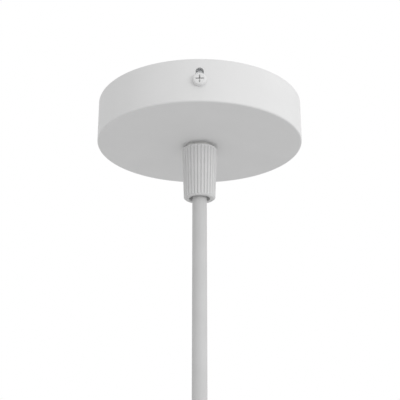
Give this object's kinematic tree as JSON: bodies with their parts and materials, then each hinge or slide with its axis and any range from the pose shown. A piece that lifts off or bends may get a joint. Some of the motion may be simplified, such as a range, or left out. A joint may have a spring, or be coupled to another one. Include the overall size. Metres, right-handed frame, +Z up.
{
  "type": "electrical ceiling rose",
  "caption": "Round canopy that closes over a mounting bar and terminal block, with a ribbed grip that clamps a pendant flex.",
  "frame": {"origin": "middle of the mounting bar's ceiling face, where the ceiling meets the canopy's rim", "axes": "+Z up into the ceiling, +Y along the mounting bar away from the front side screw"},
  "size_m": [0.1, 0.1046, 0.176],
  "materials": {
    "canopy_paint": "matte powder coat",
    "zinc_steel": "bright zinc plate",
    "screw_paint": "satin paint",
    "nickel_brass": "nickel plate",
    "tinned_tag": "tin plate",
    "grip_plastic": "fine matte",
    "collet_plastic": "matte",
    "block_plastic": "semi-matte",
    "bare_brass": "turned",
    "flex_white": "smooth satin",
    "core_brown": "satin",
    "core_blue": "satin",
    "core_earth": "green and yellow stripes",
    "copper": "bare strands"
  },
  "bodies": {
    "bar": {"mounting_bar": "zinc_steel", "terminal_block": "block_plastic", "terminal_tubes": "bare_brass", "clamp_screws": "zinc_steel", "block_screws": "zinc_steel", "earth_screw": "bare_brass", "earth_washer": "zinc_steel", "bar_earth_tags": "tinned_tag", "earth_link": "core_earth", "core_tips": "copper", "core_brown": "core_brown", "core_blue": "core_blue", "core_earth": "core_earth", "canopy_earth_lead": "core_earth"},
    "canopy": {"canopy": "canopy_paint", "grip_stem": "nickel_brass", "lock_nut": "nickel_brass", "toothed_washer": "zinc_steel", "canopy_earth_tag": "tinned_tag", "flex_sheath": "flex_white", "lower_core_brown": "core_brown", "lower_core_blue": "core_blue", "lower_core_earth": "core_earth", "lower_ferrules": "tinned_tag"},
    "collet": {"grip_collet": "collet_plastic"},
    "cap": {"grip_cap": "grip_plastic"},
    "screw_front": {"side_screw_front": "screw_paint"},
    "screw_back": {"side_screw_back": "screw_paint"}
  },
  "joints": [
    {"name": "canopy_drop", "type": "slide", "parent": "bar", "child": "canopy", "axis": [0, 0, 1], "range_m": [-0.0035, 0], "deforming": ["core_brown", "core_blue", "core_earth", "canopy_earth_lead"]},
    {"name": "grip_travel", "type": "slide", "parent": "canopy", "child": "collet", "axis": [0, 0, 1], "range_m": [-0.003, 0]},
    {"name": "cap_turn", "type": "hinge", "parent": "collet", "child": "cap", "pos_m": [0, 0, -0.03], "axis": [0, 0, 1], "range_deg": [-1080, 0]},
    {"name": "side_screw_front_turn", "type": "hinge", "parent": "bar", "child": "screw_front", "pos_m": [0, -0.048, -0.0108], "axis": [0, -1, 0], "range_deg": [0, 1080]},
    {"name": "side_screw_back_turn", "type": "hinge", "parent": "bar", "child": "screw_back", "pos_m": [0, 0.048, -0.0108], "axis": [0, 1, 0], "range_deg": [0, 1080]}
  ],
  "couplings": [
    {"joint": "grip_travel", "follows": "cap_turn", "m_per_rad": 0.00015915}
  ]
}
